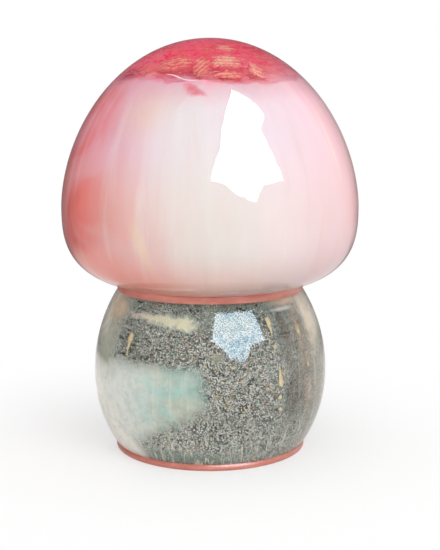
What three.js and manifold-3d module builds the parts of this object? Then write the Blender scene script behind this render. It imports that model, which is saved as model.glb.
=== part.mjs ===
// Resin toadstool ornament: a clear glitter stem and a pearl cap, poured in layers and stacked.
// Millimetres, +Z up. The origin is the centre of the flat underside, where it rests on a table.

import * as THREE from 'three';
import { mergeVertices } from 'three/addons/utils/BufferGeometryUtils.js';
import Module from 'manifold-3d';

const wasm = await Module();
wasm.setup();

// Heights of the stack, from the table up
const baseThickness = 1.5;
const stemHeight = 34.6;
const collarThickness = 1.6;
const capRimHeight = 16.9;
const capCrownHeight = 36.9;

// Radii
const footRadius = 21.5;
const stemRadius = 26.3;
const neckRadius = 20.9;
const capRadius = 33;

// Height of the stem's widest level above the base disc
const stemWidestHeight = 15.9;

// Exponents of the cap's outline: 2 is an ellipse, more is squarer, less is more pointed
const crownSpread = 2.04;
const crownRise = 1.8;
const rimSpread = 3.6;
const rimDrop = 2.75;

// Clear coats, and the gap that every poured layer keeps to its neighbour
const capCoatThickness = 1;
const stemCoatThickness = 0.9;
const layerGap = 0.3;

// Width of the ring on which the cap's coat rests on the collar, round the pearl core's foot
const coatLanding = 4.9;

// Rounding on the edges of the two coral discs
const baseEdgeRadius = 0.5;
const collarEdgeRadius = 0.3;

// Red pour in the crown: depth of its wavy floor below the apex, and the floor's waves
const crownPourDepth = 9.8;
const crownWaveHeight = 0.45;
const crownWaves = 3;
const crownRipples = 7;

// Metal leaf in the top of the red pour: thickness, half the breadth of the largest piece, and
// how far and in how many lobes and nicks its torn edge wanders
const leafThickness = 0.35;
const leafReach = 3.2;
const leafTear = 0.12;
const leafLobes = 3;
const leafNicks = 5;

// Flow lines of gold mica against the stem's coat
const dropBulbRadius = 0.75;
const dropTailRadius = 0.3;
const dropTailLength = 4;
const beadRadius = 0.6;
const beadTailLength = 0.6;

// Fineness of the faceted surfaces
const turnSegments = 48;
const crownSteps = 11;
const rimSteps = 8;
const stemSteps = 8;
const edgeSteps = 2;
const outlinePoints = 9;
const dropSegments = 8;
const dropSteps = 4;
const floorRings = 5;

// Levels that follow from the stack
const stemFloor = baseThickness;
const stemTop = stemFloor + stemHeight;
const stemWidestLevel = stemFloor + stemWidestHeight;
const capSeat = stemTop + collarThickness;
const capWidestLevel = capSeat + capRimHeight;
const capTop = capWidestLevel + capCrownHeight;
const crownPourLevel = capTop - crownPourDepth;

// Insets and radii that follow from the coats
const stemInset = stemCoatThickness + layerGap;
const capInset = capCoatThickness + layerGap;
const jointRadius = neckRadius - coatLanding;

// Pieces of leaf: direction round the axis in degrees, place from the apex (0) to the edge of
// the red pour (1), and half the length and breadth as shares of leafReach
const leaves = [
  { name: 'crown_leaf_1', around: -75, place: 0.68, length: 0.69, breadth: 1 },
  { name: 'crown_leaf_2', around: -78, place: 0.87, length: 0.41, breadth: 0.72 },
  { name: 'crown_leaf_3', around: -95, place: 0.79, length: 0.94, breadth: 0.47 },
  { name: 'crown_leaf_4', around: -56, place: 0.82, length: 0.66, breadth: 0.41 },
  { name: 'crown_leaf_5', around: -71, place: 0.44, length: 0.44, breadth: 0.56 },
  { name: 'crown_leaf_6', around: -117, place: 0.71, length: 0.69, breadth: 0.97 },
  { name: 'crown_leaf_7', around: 62, place: 0.69, length: 0.84, breadth: 0.69 },
  { name: 'crown_leaf_8', around: 160, place: 0.66, length: 0.72, breadth: 0.59 },
];

// Flow lines: direction round the axis in degrees, place of the bulb from the stem's foot (0)
// to its neck (1), and the bulb's radius and tail in millimetres; a negative tail hangs down
const flowLines = [
  { name: 'gold_drop_1', around: -56, place: 0.884, bulb: dropBulbRadius, tail: -0.8 * dropTailLength },
  { name: 'gold_drop_2', around: -53, place: 0.503, bulb: dropBulbRadius, tail: dropTailLength },
  { name: 'gold_drop_3', around: -36, place: 0.786, bulb: dropBulbRadius, tail: 0.9 * dropTailLength },
  { name: 'gold_drop_4', around: -33, place: 0.58, bulb: dropBulbRadius, tail: 0.65 * dropTailLength },
  { name: 'gold_drop_5', around: -135, place: 0.777, bulb: dropBulbRadius, tail: -dropTailLength },
  { name: 'gold_bead_1', around: -55, place: 0.731, bulb: beadRadius, tail: beadTailLength },
  { name: 'gold_bead_2', around: -54, place: 0.422, bulb: beadRadius, tail: beadTailLength },
  { name: 'gold_bead_3', around: -53, place: 0.344, bulb: beadRadius, tail: beadTailLength },
];

// A closed solid from a closed geometry, with shared corners merged and empty triangles left out
function toSolid(geometry) {
  const bare = geometry.clone();
  bare.deleteAttribute('normal');
  bare.deleteAttribute('uv');
  const merged = mergeVertices(bare);
  const corners = merged.getIndex().array;
  const kept = [];
  for (let i = 0; i < corners.length; i += 3) {
    const [a, b, c] = [corners[i], corners[i + 1], corners[i + 2]];
    if (a !== b && b !== c && c !== a) {
      kept.push(a, b, c);
    }
  }
  return new wasm.Manifold(new wasm.Mesh({
    numProp: 3,
    vertProperties: Float32Array.from(merged.getAttribute('position').array),
    triVerts: Uint32Array.from(kept),
  }));
}

// The geometry of a closed solid
function toGeometry(solid) {
  const mesh = solid.getMesh();
  const geometry = new THREE.BufferGeometry();
  geometry.setAttribute('position', new THREE.BufferAttribute(mesh.vertProperties, 3));
  geometry.setIndex(new THREE.BufferAttribute(mesh.triVerts, 1));
  geometry.computeVertexNormals();
  return geometry;
}

// A body turned round the Z axis from an outline of radius and height
function turned(points, segments = turnSegments) {
  return new THREE.LatheGeometry(points, segments).rotateX(Math.PI / 2);
}

// The cap's rim curve meets the seat at the neck, so its full depth follows from those two
function rimAngle(radius, widest) {
  return Math.acos((radius / widest) ** (rimSpread / 2));
}

const rimDepth = capRimHeight / Math.sin(rimAngle(neckRadius, capRadius)) ** (2 / rimDrop);

// The cap's outline from below to the apex, drawn in by an inset, from an inner radius outwards
function capOutline(inset, fromRadius) {
  const widest = capRadius - inset;
  const points = [];
  const start = rimAngle(fromRadius, widest);
  for (let step = 0; step <= rimSteps; step += 1) {
    const angle = start * (1 - step / rimSteps);
    const radius = widest * Math.cos(angle) ** (2 / rimSpread);
    const drop = (rimDepth - inset) * Math.sin(angle) ** (2 / rimDrop);
    points.push(new THREE.Vector2(radius, capWidestLevel - drop));
  }
  for (let step = crownSteps - 1; step >= 0; step -= 1) {
    const angle = (Math.PI / 2) * (step / crownSteps);
    const radius = widest * Math.sin(angle) ** (2 / crownSpread);
    const rise = (capCrownHeight - inset) * Math.cos(angle) ** (2 / crownRise);
    points.push(new THREE.Vector2(radius, capWidestLevel + rise));
  }
  return points;
}

// The stem's wall is two arcs that meet upright at its widest level
function stemWallRadius(level, inset) {
  const above = level > stemWidestLevel;
  const endRadius = above ? neckRadius : footRadius;
  const endLevel = above ? stemTop : stemFloor;
  const swell = stemRadius - endRadius;
  const reach = endLevel - stemWidestLevel;
  const arcRadius = (reach ** 2 + swell ** 2) / (2 * swell);
  return stemRadius - arcRadius + Math.sqrt(arcRadius ** 2 - (level - stemWidestLevel) ** 2) - inset;
}

// The stem's outline from the base disc to the neck
function stemOutline(inset) {
  const points = [];
  for (let step = 0; step <= stemSteps; step += 1) {
    const level = stemFloor + (stemHeight * step) / stemSteps;
    points.push(new THREE.Vector2(stemWallRadius(level, inset), level));
  }
  return points;
}

// The inside of the cap, within its coat: it comes down to the seat as a short round boss
function capInside(inset) {
  const bossRadius = jointRadius - (inset - capCoatThickness);
  return toSolid(turned([
    new THREE.Vector2(0, capSeat),
    new THREE.Vector2(bossRadius, capSeat),
    ...capOutline(inset, bossRadius),
  ]));
}

// The space above the red pour's wavy floor, lowered by a gap or raised by a negative one
function abovePourFloor(gap) {
  const floor = [];
  for (let ring = 0; ring <= floorRings; ring += 1) {
    floor.push(new THREE.Vector2((capRadius * ring) / floorRings, crownPourLevel - gap));
  }
  const geometry = turned([
    ...floor,
    new THREE.Vector2(capRadius, capTop),
    new THREE.Vector2(0, capTop),
  ]);
  const corners = geometry.getAttribute('position');
  for (let i = 0; i < corners.count; i += 1) {
    const [x, y, z] = [corners.getX(i), corners.getY(i), corners.getZ(i)];
    if (z < capTop) {
      const around = Math.atan2(y, x);
      const wave = Math.cos(crownWaves * around) + Math.sin(crownRipples * around) / 2;
      corners.setZ(i, z + crownWaveHeight * wave * (Math.hypot(x, y) / capRadius));
    }
  }
  return toSolid(geometry);
}

// The torn outline of a piece of leaf, widened all round by a margin
function tornOutline(leaf, margin) {
  const length = leafReach * leaf.length + margin;
  const breadth = leafReach * leaf.breadth + margin;
  const outline = new THREE.Shape();
  for (let i = 0; i < outlinePoints; i += 1) {
    const angle = (2 * Math.PI * i) / outlinePoints;
    const lobes = Math.sin(leafLobes * angle + leaf.around);
    const torn = 1 + leafTear * (lobes + Math.sin(leafNicks * angle) / 2);
    const [x, y] = [torn * breadth * Math.cos(angle), torn * length * Math.sin(angle)];
    if (i === 0) {
      outline.moveTo(x, y);
    } else {
      outline.lineTo(x, y);
    }
  }
  outline.closePath();
  return outline;
}

// Tilt from the axis at which the red pour ends, seen from the middle of the widest level
function pourEdgeTilt() {
  const rise = crownPourLevel - capWidestLevel;
  const angle = Math.acos((rise / (capCrownHeight - capInset)) ** (crownRise / 2));
  const radius = (capRadius - capInset) * Math.sin(angle) ** (2 / crownSpread);
  return Math.atan2(radius, rise);
}

// A prism with a torn outline, from the middle of the cap out through its crown
function leafPrism(leaf, margin) {
  const outline = tornOutline(leaf, margin);
  const geometry = new THREE.ExtrudeGeometry(outline, { depth: capCrownHeight, bevelEnabled: false });
  geometry.rotateX(leaf.place * pourEdgeTilt());
  geometry.rotateZ(THREE.MathUtils.degToRad(leaf.around + 90));
  geometry.translate(0, 0, capWidestLevel);
  return toSolid(geometry);
}

// A bulb with a thin tail, lying along the inner wall of the stem's coat
function flowLine(line, margin) {
  const level = stemFloor + stemHeight * line.place;
  const bulbRadius = line.bulb + margin;
  const endRadius = dropTailRadius + margin;
  const tailLength = Math.abs(line.tail) + margin;
  const points = [];
  for (let step = 0; step < dropSteps; step += 1) {
    const angle = (Math.PI / 2) * (step / dropSteps);
    points.push(new THREE.Vector2(bulbRadius * Math.sin(angle), -bulbRadius * Math.cos(angle)));
  }
  for (let step = 0; step <= dropSteps; step += 1) {
    const share = step / dropSteps;
    const radius = endRadius + (bulbRadius - endRadius) * Math.cos((Math.PI / 2) * share) ** 2;
    points.push(new THREE.Vector2(radius, tailLength * share));
  }
  points.push(new THREE.Vector2(0, tailLength + endRadius));
  const geometry = turned(points, dropSegments);
  if (line.tail < 0) {
    geometry.rotateX(Math.PI);
  }
  const wall = stemWallRadius(level, stemInset);
  const slope = stemWallRadius(level + line.bulb, stemInset) - wall;
  geometry.rotateY(Math.atan2(slope, line.bulb));
  geometry.translate(wall, 0, level);
  geometry.rotateZ(THREE.MathUtils.degToRad(line.around));
  return toSolid(geometry);
}

// A flat disc with a rounded lower edge
function disc(radius, bottom, thickness, rounding) {
  const points = [new THREE.Vector2(0, bottom)];
  for (let step = 0; step <= edgeSteps; step += 1) {
    const angle = (Math.PI / 2) * (step / edgeSteps);
    points.push(new THREE.Vector2(
      radius - rounding * (1 - Math.sin(angle)),
      bottom + rounding * (1 - Math.cos(angle)),
    ));
  }
  points.push(new THREE.Vector2(radius, bottom + thickness));
  points.push(new THREE.Vector2(0, bottom + thickness));
  return toSolid(turned(points));
}

const ornament = new THREE.Group();

// Adds one piece with its name, colour and finish
function addPiece(name, solid, finish) {
  const mesh = new THREE.Mesh(toGeometry(solid), new THREE.MeshStandardMaterial(finish));
  mesh.name = name;
  ornament.add(mesh);
}

const coral = { color: 0xcd7364, roughness: 0.2, metalness: 0 };
const clearResin = { color: 0xdfe6e0, roughness: 0.04, metalness: 0, transparent: true, opacity: 0.35 };
const glitterResin = { color: 0x8e9890, roughness: 0.12, metalness: 0.1, transparent: true, opacity: 0.6 };
const goldMica = { color: 0xd9b26a, roughness: 0.35, metalness: 0.8 };
const pinkClearResin = { color: 0xf6d8dc, roughness: 0.04, metalness: 0, transparent: true, opacity: 0.3 };
const pearlResin = { color: 0xecd0d2, roughness: 0.18, metalness: 0.1 };
const redResin = { color: 0xdc5a66, roughness: 0.1, metalness: 0, transparent: true, opacity: 0.85 };
const metalLeaf = { color: 0xffb995, roughness: 0.3, metalness: 0.9 };

// Coral disc under the stem, with the flat face that the ornament stands on
addPiece('base_disc', disc(footRadius, 0, baseThickness, baseEdgeRadius), coral);

// Clear coat of the stem, an open tube from the base disc to the collar
const stemOuter = stemOutline(0);
addPiece('stem_clear_coat', toSolid(turned([
  ...stemOuter,
  ...stemOutline(stemCoatThickness).reverse(),
  stemOuter[0],
])), clearResin);

// Glitter core of the stem, with a pocket in its wall for each flow line
const stemSolid = toSolid(turned([
  new THREE.Vector2(0, stemFloor),
  ...stemOutline(stemInset),
  new THREE.Vector2(0, stemTop),
]));
let stemCore = stemSolid;
for (const line of flowLines) {
  stemCore = stemCore.subtract(flowLine(line, layerGap));
  addPiece(line.name, flowLine(line, 0).intersect(stemSolid), goldMica);
}
addPiece('stem_glitter_core', stemCore, glitterResin);

// Coral collar between the stem and the cap
addPiece('collar_disc', disc(neckRadius, stemTop, collarThickness, collarEdgeRadius), coral);

// Clear coat of the cap, a dome that turns in under the rim and rests on the collar
addPiece('cap_clear_coat', toSolid(turned([
  ...capOutline(capCoatThickness, jointRadius).reverse(),
  new THREE.Vector2(jointRadius, capSeat),
  ...capOutline(0, neckRadius),
])), pinkClearResin);

// Inside the coat, the red pour fills the crown and the pearl core the rest
const capSolid = capInside(capInset);
addPiece('cap_pearl_core', capSolid.subtract(abovePourFloor(layerGap)), pearlResin);

// Each leaf lies in a pocket in the top of the red pour, clear of the pour's floor
const leafUnderside = capInside(capInset + leafThickness);
const leafLayer = capSolid.intersect(abovePourFloor(-layerGap)).subtract(leafUnderside);
const pocketBed = capInside(capInset + leafThickness + layerGap);
let redPour = capSolid.intersect(abovePourFloor(0));
for (const leaf of leaves) {
  redPour = redPour.subtract(leafPrism(leaf, layerGap).subtract(pocketBed));
  addPiece(leaf.name, leafPrism(leaf, 0).intersect(leafLayer), metalLeaf);
}
addPiece('crown_red_pour', redPour, redResin);

export default ornament;
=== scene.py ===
"""The looks of the resin toadstool ornament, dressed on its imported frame. Metres, Z up."""

import math
import random

import bpy
from mathutils import Matrix, Vector, noise


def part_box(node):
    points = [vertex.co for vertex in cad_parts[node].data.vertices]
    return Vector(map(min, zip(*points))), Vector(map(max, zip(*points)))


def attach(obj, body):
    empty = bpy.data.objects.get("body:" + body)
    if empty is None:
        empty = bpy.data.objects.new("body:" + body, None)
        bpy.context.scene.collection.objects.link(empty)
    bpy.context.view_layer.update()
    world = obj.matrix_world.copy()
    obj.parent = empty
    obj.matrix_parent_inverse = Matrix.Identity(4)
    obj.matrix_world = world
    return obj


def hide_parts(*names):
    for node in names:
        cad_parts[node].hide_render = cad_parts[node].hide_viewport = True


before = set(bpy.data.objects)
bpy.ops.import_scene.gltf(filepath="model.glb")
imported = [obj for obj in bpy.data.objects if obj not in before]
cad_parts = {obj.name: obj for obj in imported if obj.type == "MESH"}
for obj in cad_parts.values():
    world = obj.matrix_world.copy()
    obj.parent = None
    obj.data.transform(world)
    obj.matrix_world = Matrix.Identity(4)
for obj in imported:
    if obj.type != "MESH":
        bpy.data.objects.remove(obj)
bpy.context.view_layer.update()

MM = 0.001

# Sizes that the frame gives: the radii, and the lowest and highest level of the stem and the cap
FOOT_RADIUS, NECK_RADIUS, STEM_RADIUS, CAP_RADIUS = (
    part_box(node)[1][0] for node in ("base_disc", "collar_disc", "stem_clear_coat", "cap_clear_coat")
)
STEM_FLOOR, STEM_TOP = (corner[2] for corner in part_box("stem_clear_coat"))
CAP_SEAT, CAP_TOP = (corner[2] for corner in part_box("cap_clear_coat"))

# Sizes of the casting that its outlines are worked out from
STEM_WIDEST = STEM_FLOOR + 15.9 * MM
CAP_WIDEST = CAP_SEAT + 16.9 * MM
CROWN_HEIGHT = CAP_TOP - CAP_WIDEST
CROWN_SPREAD, CROWN_RISE = 2.04, 1.8
RIM_SPREAD, RIM_DROP = 3.6, 2.75
CAP_INSET = 1.3 * MM
STEM_INSET = 1.2 * MM
JOINT_RADIUS = NECK_RADIUS - 4.9 * MM
POUR_LEVEL = CAP_TOP - 9.8 * MM

# The surface between the red pour and the pearl: its waves, and how high and wide its folds are
WAVE_HEIGHT = 0.45 * MM
FOLD_HEIGHT, FOLD_WIDTH = 0.7 * MM, 5.0 * MM

# How far clear resin reaches into what it is cured to, so that no film of air shows between
BOND = 0.25 * MM

# Half the breadth of the largest piece of leaf, and how much wider it is with its faint fringe
LEAF_REACH = 3.2 * MM
LEAF_FRINGE = 1.2

# The width of one ripple in the leaf, how high its ripples, crinkles and bends are in millimetres,
# the radius that it bends to under the dome, how far its edge droops, and half its thickness
RIPPLE = 1.0 * MM
RIPPLE_RISE, CRINKLE_RISE, BEND_RISE = 0.11, 0.12, 0.1
LEAF_BEND_RADIUS, LEAF_DROOP = 34 * MM, 0.25 * MM
FOIL_HALF = 0.02 * MM

# Fineness of the turned surfaces
TURN_SEGMENTS = 192
OUTLINE_STEPS = 56


def turns(count):
    """Directions round the axis, evenly spaced."""
    return [2 * math.pi * index / count for index in range(count)]


def evenly(low, high, steps):
    """Levels from one to another, both counted in."""
    return [low + (high - low) * step / steps for step in range(steps + 1)]


def polar(radius, around, height):
    """A point, by its distance from the axis, its direction round it and its height."""
    return radius * math.cos(around), radius * math.sin(around), height


def add_mesh(name, corners, faces, smooth=True):
    mesh = bpy.data.meshes.new(name)
    mesh.from_pydata(corners, [], faces)
    mesh.polygons.foreach_set("use_smooth", [smooth] * len(mesh.polygons))
    mesh.update()
    piece = bpy.data.objects.new(name, mesh)
    bpy.context.scene.collection.objects.link(piece)
    return piece


def dress(piece, material, slot, *nodes):
    """Gives a piece its material, its body and the nodes that it stands for; slot is not used."""
    piece.data.materials.clear()
    piece.data.materials.append(material)
    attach(piece, "root")
    if nodes:
        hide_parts(*nodes)


# Outlines of the casting


def rim_angle(radius, widest):
    return math.acos(min(radius / widest, 1.0) ** (RIM_SPREAD / 2))


RIM_DEPTH = (CAP_WIDEST - CAP_SEAT) / math.sin(rim_angle(NECK_RADIUS, CAP_RADIUS)) ** (2 / RIM_DROP)


def rim_point(angle, inset):
    radius = (CAP_RADIUS - inset) * math.cos(angle) ** (2 / RIM_SPREAD)
    return radius, CAP_WIDEST - (RIM_DEPTH - inset) * math.sin(angle) ** (2 / RIM_DROP)


def crown_point(angle, inset):
    """A point of the cap's dome, from the apex (0) to the widest level (a right angle)."""
    radius = (CAP_RADIUS - inset) * max(math.sin(angle), 0.0) ** (2 / CROWN_SPREAD)
    rise = (CROWN_HEIGHT - inset) * max(math.cos(angle), 0.0) ** (2 / CROWN_RISE)
    return radius, CAP_WIDEST + rise


def rim_outline(inset, from_radius):
    start, steps = rim_angle(from_radius, CAP_RADIUS - inset), OUTLINE_STEPS // 2
    return [rim_point(start * (1 - step / steps), inset) for step in range(steps + 1)]


def crown_outline(inset):
    shares = [step / OUTLINE_STEPS for step in range(1, OUTLINE_STEPS + 1)]
    return [crown_point(math.pi / 2 * (1 - share), inset) for share in shares]


def stem_wall(level, inset=0.0):
    above = level > STEM_WIDEST
    swell = STEM_RADIUS - (NECK_RADIUS if above else FOOT_RADIUS)
    reach = (STEM_TOP if above else STEM_FLOOR) - STEM_WIDEST
    arc = (reach * reach + swell * swell) / (2 * swell)
    return STEM_RADIUS - arc + math.sqrt(arc * arc - (level - STEM_WIDEST) ** 2) - inset


def pour_floor(x, y):
    """Height of the wavy surface between the red pour and the pearl under it."""
    around, share = math.atan2(y, x), math.hypot(x, y) / CAP_RADIUS
    wave = WAVE_HEIGHT * share * (math.cos(3 * around) + math.sin(7 * around) / 2)
    folds = noise.fractal(Vector((x, y, 0.0)) / FOLD_WIDTH, 0.7, 2.0, 3)
    return POUR_LEVEL + wave + FOLD_HEIGHT * folds


def revolve(name, outline, segments=TURN_SEGMENTS, shift=None):
    """A body turned round the axis from (radius, height) points that run upwards on its outside."""
    corners, rings = [], []
    for radius, height in outline:
        if radius < 1e-7:
            rings.append([len(corners)] * segments)
            corners.append((0.0, 0.0, height))
            continue
        rings.append(list(range(len(corners), len(corners) + segments)))
        corners += [polar(radius, around, height) for around in turns(segments)]
    if shift:
        corners = [shift(Vector(corner)) for corner in corners]
    faces = []
    for low, high in zip(rings, rings[1:]):
        for index in range(segments):
            after = (index + 1) % segments
            face = [low[index], low[after], high[after], high[index]]
            face = [corner for place, corner in enumerate(face) if corner != face[place - 1]]
            if len(face) > 2:
                faces.append(face)
    return add_mesh(name, corners, faces)


# Small building blocks for the materials


class Tree:
    """A node tree with short calls for the nodes that the materials here are made of."""

    def __init__(self, name, world=None):
        self.material = world or bpy.data.materials.new(name)
        self.material.use_nodes = True
        self.tree = self.material.node_tree
        self.tree.nodes.clear()
        self.output = self.tree.nodes.new("ShaderNodeOutputWorld" if world else "ShaderNodeOutputMaterial")

    def feed(self, socket, value):
        if isinstance(value, bpy.types.NodeSocket):
            self.tree.links.new(value, socket)
        else:
            socket.default_value = (*value, 1.0) if socket.type == "RGBA" else value

    def add(self, kind, inputs=None, **settings):
        node = self.tree.nodes.new(kind)
        for name, value in settings.items():
            setattr(node, name, value)
        for name, value in (inputs or {}).items():
            self.feed(node.inputs[name], value)
        return node

    def place(self):
        """The place on the object in millimetres."""
        source = self.add("ShaderNodeTexCoord").outputs["Object"]
        return self.vector("MULTIPLY", source, (1000, 1000, 1000))

    def split(self, vector):
        return self.add("ShaderNodeSeparateXYZ", {0: vector}).outputs

    def join(self, x, y, z):
        return self.add("ShaderNodeCombineXYZ", {0: x, 1: y, 2: z}).outputs[0]

    def math(self, operation, first, second=0.0, third=0.0):
        return self.add(
            "ShaderNodeMath", {0: first, 1: second, 2: third}, operation=operation
        ).outputs[0]

    def vector(self, operation, *values):
        return self.add("ShaderNodeVectorMath", dict(enumerate(values)), operation=operation).outputs[0]

    def times(self, first, *others):
        for other in others:
            first = self.math("MULTIPLY", first, other)
        return first

    def most(self, first, second):
        return self.math("MAXIMUM", first, second)

    def scaled(self, value, factor, offset):
        """value * factor + offset"""
        return self.math("MULTIPLY_ADD", value, factor, offset)

    def radius(self, x, y):
        return self.math("SQRT", self.math("ADD", self.times(x, x), self.times(y, y)))

    def ramp(self, value, low, high, start=0.0, end=1.0):
        """A smooth step of a value between two levels."""
        return self.add(
            "ShaderNodeMapRange",
            {"Value": value, "From Min": low, "From Max": high, "To Min": start, "To Max": end},
            interpolation_type="SMOOTHSTEP",
        ).outputs[0]

    def colours(self, value, *stops):
        """Colours along a value, as pairs of a level and a colour."""
        node = self.add("ShaderNodeValToRGB", {"Fac": value})
        marks = node.color_ramp.elements
        while len(marks) < len(stops):
            marks.new(1.0)
        for mark, (level, colour) in zip(marks, stops):
            mark.position = level
            mark.color = (*colour, 1.0)
        return node.outputs["Color"]

    def mix(self, share, first, second, blend="MIX"):
        node = self.add("ShaderNodeMix", data_type="RGBA", blend_type=blend)
        for place, value in ((0, share), (6, first), (7, second)):
            self.feed(node.inputs[place], value)
        return node.outputs[2]

    def noise(self, vector, scale, detail, roughness=0.5, distortion=0.0):
        return self.add("ShaderNodeTexNoise", {
            "Vector": vector, "Scale": scale, "Detail": detail,
            "Roughness": roughness, "Distortion": distortion,
        }).outputs["Fac"]

    def swing(self, *noise):
        """Noise that swings about 0."""
        return self.math("SUBTRACT", self.noise(*noise), 0.5)

    def streaks(self, place, round_scale, height_scale, *noise):
        """Noise that changes fast round the axis and slowly up it."""
        x, y, z = self.split(place)
        radius = self.most(self.radius(x, y), 9.0)
        x, y = (self.times(self.math("DIVIDE", part, radius), round_scale) for part in (x, y))
        return self.noise(self.join(x, y, self.times(z, height_scale)), 1.0, *noise)

    def attribute(self, name):
        return self.add("ShaderNodeAttribute", attribute_name=name).outputs["Fac"]

    def bump(self, height, distance):
        """distance is the real height of the bump in millimetres."""
        inputs = {"Height": height, "Distance": distance * MM, "Strength": 1.0}
        return self.add("ShaderNodeBump", inputs).outputs[0]

    def principled(self, **inputs):
        inputs = {name.replace("_", " "): value for name, value in inputs.items()}
        return self.add("ShaderNodeBsdfPrincipled", inputs).outputs[0]

    def opaque(self, **inputs):
        """Finishes the material with one principled surface and nothing else."""
        return self.finish(self.principled(**inputs))

    def emission(self, colour, strength):
        return self.add("ShaderNodeEmission", {"Color": colour, "Strength": strength}).outputs[0]

    def clear(self):
        return self.add("ShaderNodeBsdfTransparent").outputs[0]

    def either(self, share, first, second):
        """The first shader, and the second where the share is 1."""
        return self.add("ShaderNodeMixShader", {0: share, 1: first, 2: second}).outputs[0]

    def ray(self, kind):
        """1 for one kind of ray and 0 for all others."""
        return self.add("ShaderNodeLightPath").outputs["Is " + kind + " Ray"]

    def clear_for(self, kind, shader):
        """A shader that lets one kind of ray straight through."""
        return self.either(self.ray(kind), shader, self.clear())

    def finish(self, surface, volume=None):
        self.feed(self.output.inputs["Surface"], surface)
        if volume:
            self.feed(self.output.inputs["Volume"], volume)
        return self.material


def spot(tree, place, centre, size, soft=0.5):
    """A soft round mask about a point of the object, in millimetres."""
    stretched = tree.vector("DIVIDE", tree.vector("SUBTRACT", place, centre), size)
    length = tree.add("ShaderNodeVectorMath", {0: stretched}, operation="LENGTH").outputs["Value"]
    return tree.ramp(length, 1.0, soft)


def clear_resin(name, surface_bump):
    """Polished clear resin with a faint waviness from the mould."""
    tree = Tree(name)
    place = tree.place()
    waves = tree.noise(place, 0.09, 2.0)
    grain = tree.noise(place, 1.1, 2.0)
    scuffs = tree.ramp(tree.noise(place, 0.5, 5.0, 0.7, 1.5), 0.62, 0.75)
    height = tree.scaled(grain, 0.02, waves)
    surface = tree.principled(
        Base_Color=(1, 1, 1),
        Roughness=tree.scaled(scuffs, 0.05, 0.015),
        IOR=1.5,
        Transmission_Weight=1.0,
        Normal=tree.bump(height, surface_bump),
    )
    return tree.finish(tree.clear_for("Shadow", surface))


def tinted_resin(name, colour, density, *waves):
    """Clear resin that tints what lies behind it, bonded to what is round it with no film of air."""
    tree = Tree(name)
    surface = tree.principled(
        Base_Color=(1, 1, 1),
        Roughness=0.0,
        IOR=1.001,
        Transmission_Weight=1.0,
        Normal=tree.bump(tree.noise(tree.place(), *waves), 0.02),
    )
    volume = tree.add("ShaderNodeVolumeAbsorption", {"Color": colour, "Density": density}).outputs[0]
    return tree.finish(tree.clear_for("Shadow", surface), volume)


# The pearl's colours round the cap, from its right limb (0) over the front (0.5) to the left (1); the deep
# red at the left limb is partly the mica's rose and partly painted shade
PEARL_ROUND_AND_SHADE = (
    (0.0, (1.0, 0.64, 0.66)),
    (0.06, (0.99, 0.76, 0.78)),
    (0.26, (0.90, 0.79, 0.79)),
    (0.50, (0.81, 0.77, 0.73)),
    (0.62, (0.82, 0.72, 0.69)),
    (0.72, (0.82, 0.56, 0.53)),
    (0.82, (0.84, 0.41, 0.38)),
    (0.90, (0.92, 0.27, 0.24)),
    (0.97, (0.72, 0.10, 0.08)),
)

# Colours stirred into the pearl, and a dark maroon that is painted shade; what is multiplied by MAUVE turns
# pinker
MILK, MAUVE = (0.88, 0.74, 0.75), (1.0, 1.05, 1.3)
PALE_SALMON, SALMON, APRICOT = (1.0, 0.70, 0.62), (0.95, 0.36, 0.28), (1.0, 0.66, 0.50)
CORAL_STREAK, CREAM_STREAK, BLOND = (0.90, 0.56, 0.53), (0.95, 0.88, 0.86), (1.0, 0.86, 0.76)
HONEY, STRAW = (0.88, 0.67, 0.52), (0.90, 0.74, 0.52)
RASPBERRY, PINK, SHADE_MAROON = (0.88, 0.46, 0.55), (1.0, 0.47, 0.62), (0.36, 0.02, 0.09)
LILAC, CRIMSON = (0.92, 0.60, 0.74), (0.80, 0.17, 0.24)


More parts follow.
